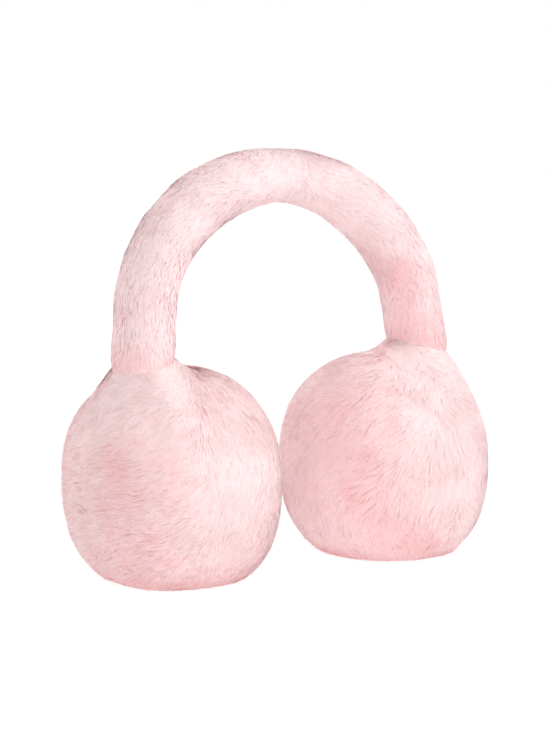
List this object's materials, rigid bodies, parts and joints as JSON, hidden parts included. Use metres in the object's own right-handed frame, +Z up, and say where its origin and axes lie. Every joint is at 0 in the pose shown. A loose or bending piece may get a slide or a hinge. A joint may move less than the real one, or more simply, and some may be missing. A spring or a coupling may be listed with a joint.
{
  "type": "fur earmuffs",
  "caption": "Earmuffs standing upright: a padded fur band arching between rounded fur muffs with flattened undersides, each muff sewn from an outer cover and an ear side.",
  "frame": {"origin": "on the floor, under the middle of the outer box, between the two muffs", "axes": "+X from the left muff to the right muff, +Y to the back, +Z up from the floor through the top of the band"},
  "size_m": [0.2534, 0.1198, 0.2308],
  "materials": {
    "band_fur": "short soft pale pink fur, matte with a light sheen",
    "muff_fur": "soft pale pink fur in loose swirls, matte with a light sheen",
    "ear_fur": "soft pale pink fur in loose swirls, matte with a light sheen"
  },
  "bodies": {
    "root": {"headband": "band_fur", "muff_left_outer": "muff_fur", "muff_left_inner": "ear_fur", "muff_right_outer": "muff_fur", "muff_right_inner": "ear_fur"}
  },
  "joints": []
}
